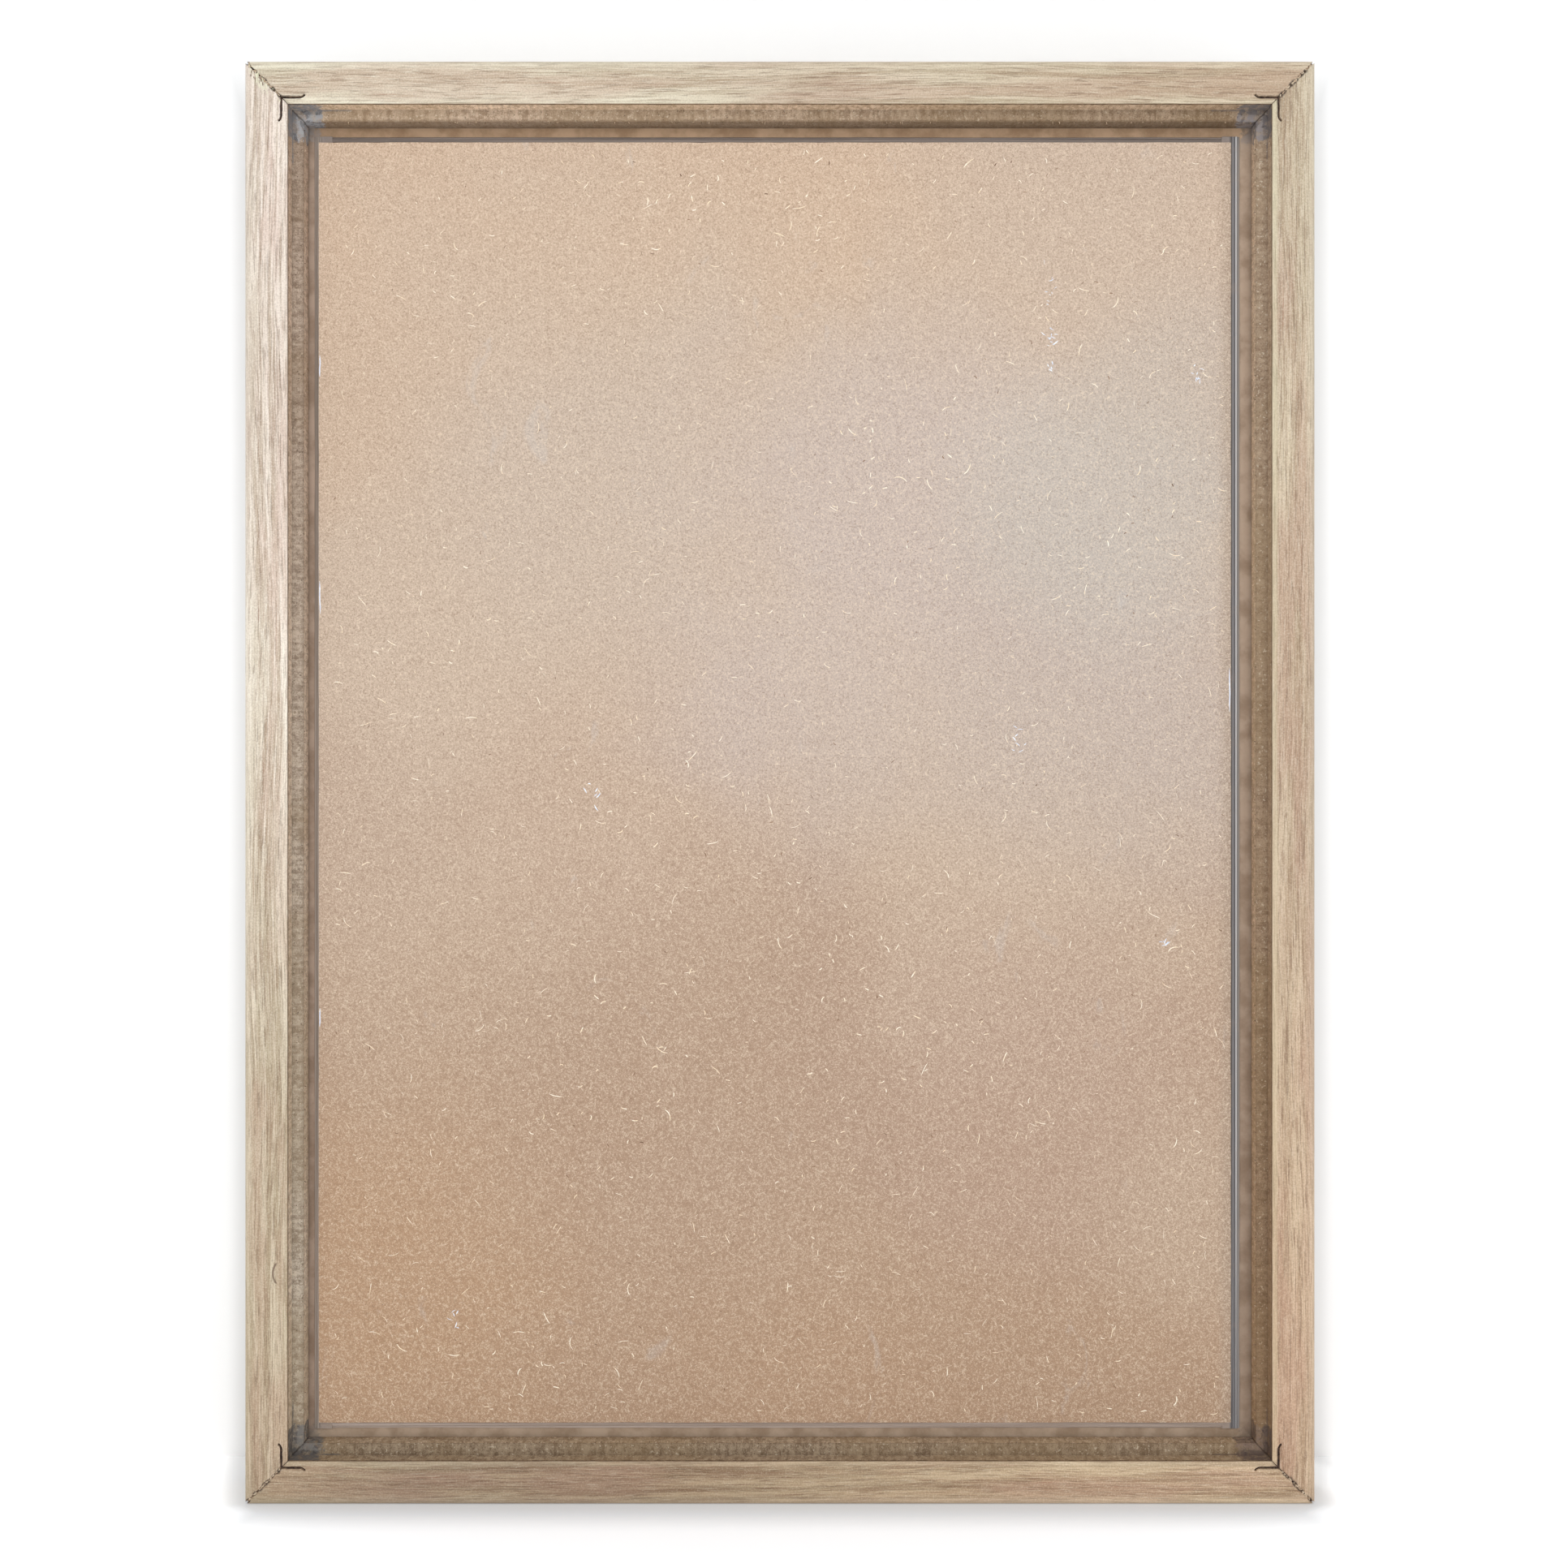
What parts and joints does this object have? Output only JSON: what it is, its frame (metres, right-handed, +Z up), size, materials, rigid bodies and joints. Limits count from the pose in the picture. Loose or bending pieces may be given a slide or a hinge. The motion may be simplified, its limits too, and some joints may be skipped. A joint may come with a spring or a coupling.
{
  "type": "floating frame",
  "caption": "Floating picture frame: mitred oak-veneered MDF rails of L section, with a picture panel taped to their inner foot so that a shadow gap runs round it.",
  "frame": {"origin": "centre of the whole frame's box", "axes": "+X across the width, to the right as seen from the back; +Y towards the picture side; +Z up"},
  "size_m": [0.287, 0.02, 0.387],
  "materials": {
    "oak_veneer": "pale, unfinished oak with fine dark pores, matt",
    "raw_mdf": "raw sawn MDF, matt, inked dark in the inner corners at the back",
    "nail_steel": "dark spring steel, dull",
    "board_mdf": "pale sanded MDF with fine fibre speckle, matt",
    "foam_tape": "grey closed-cell foam with a dull film",
    "hardboard": "smooth brown hardboard, slight sheen",
    "paper_sheet": "blank off-white art paper, matt"
  },
  "bodies": {
    "root": {"top_rail_core": "raw_mdf", "bottom_rail_core": "raw_mdf", "left_rail_core": "raw_mdf", "right_rail_core": "raw_mdf", "top_rail_veneer": "oak_veneer", "bottom_rail_veneer": "oak_veneer", "left_rail_veneer": "oak_veneer", "right_rail_veneer": "oak_veneer", "corner_v_nails": "nail_steel", "backing_board": "board_mdf", "board_tape_top": "foam_tape", "board_tape_bottom": "foam_tape", "board_tape_left": "foam_tape", "board_tape_right": "foam_tape", "panel_tape_top": "foam_tape", "panel_tape_bottom": "foam_tape", "panel_tape_left": "foam_tape", "panel_tape_right": "foam_tape", "picture_panel": "hardboard", "picture_sheet": "paper_sheet"}
  },
  "joints": []
}
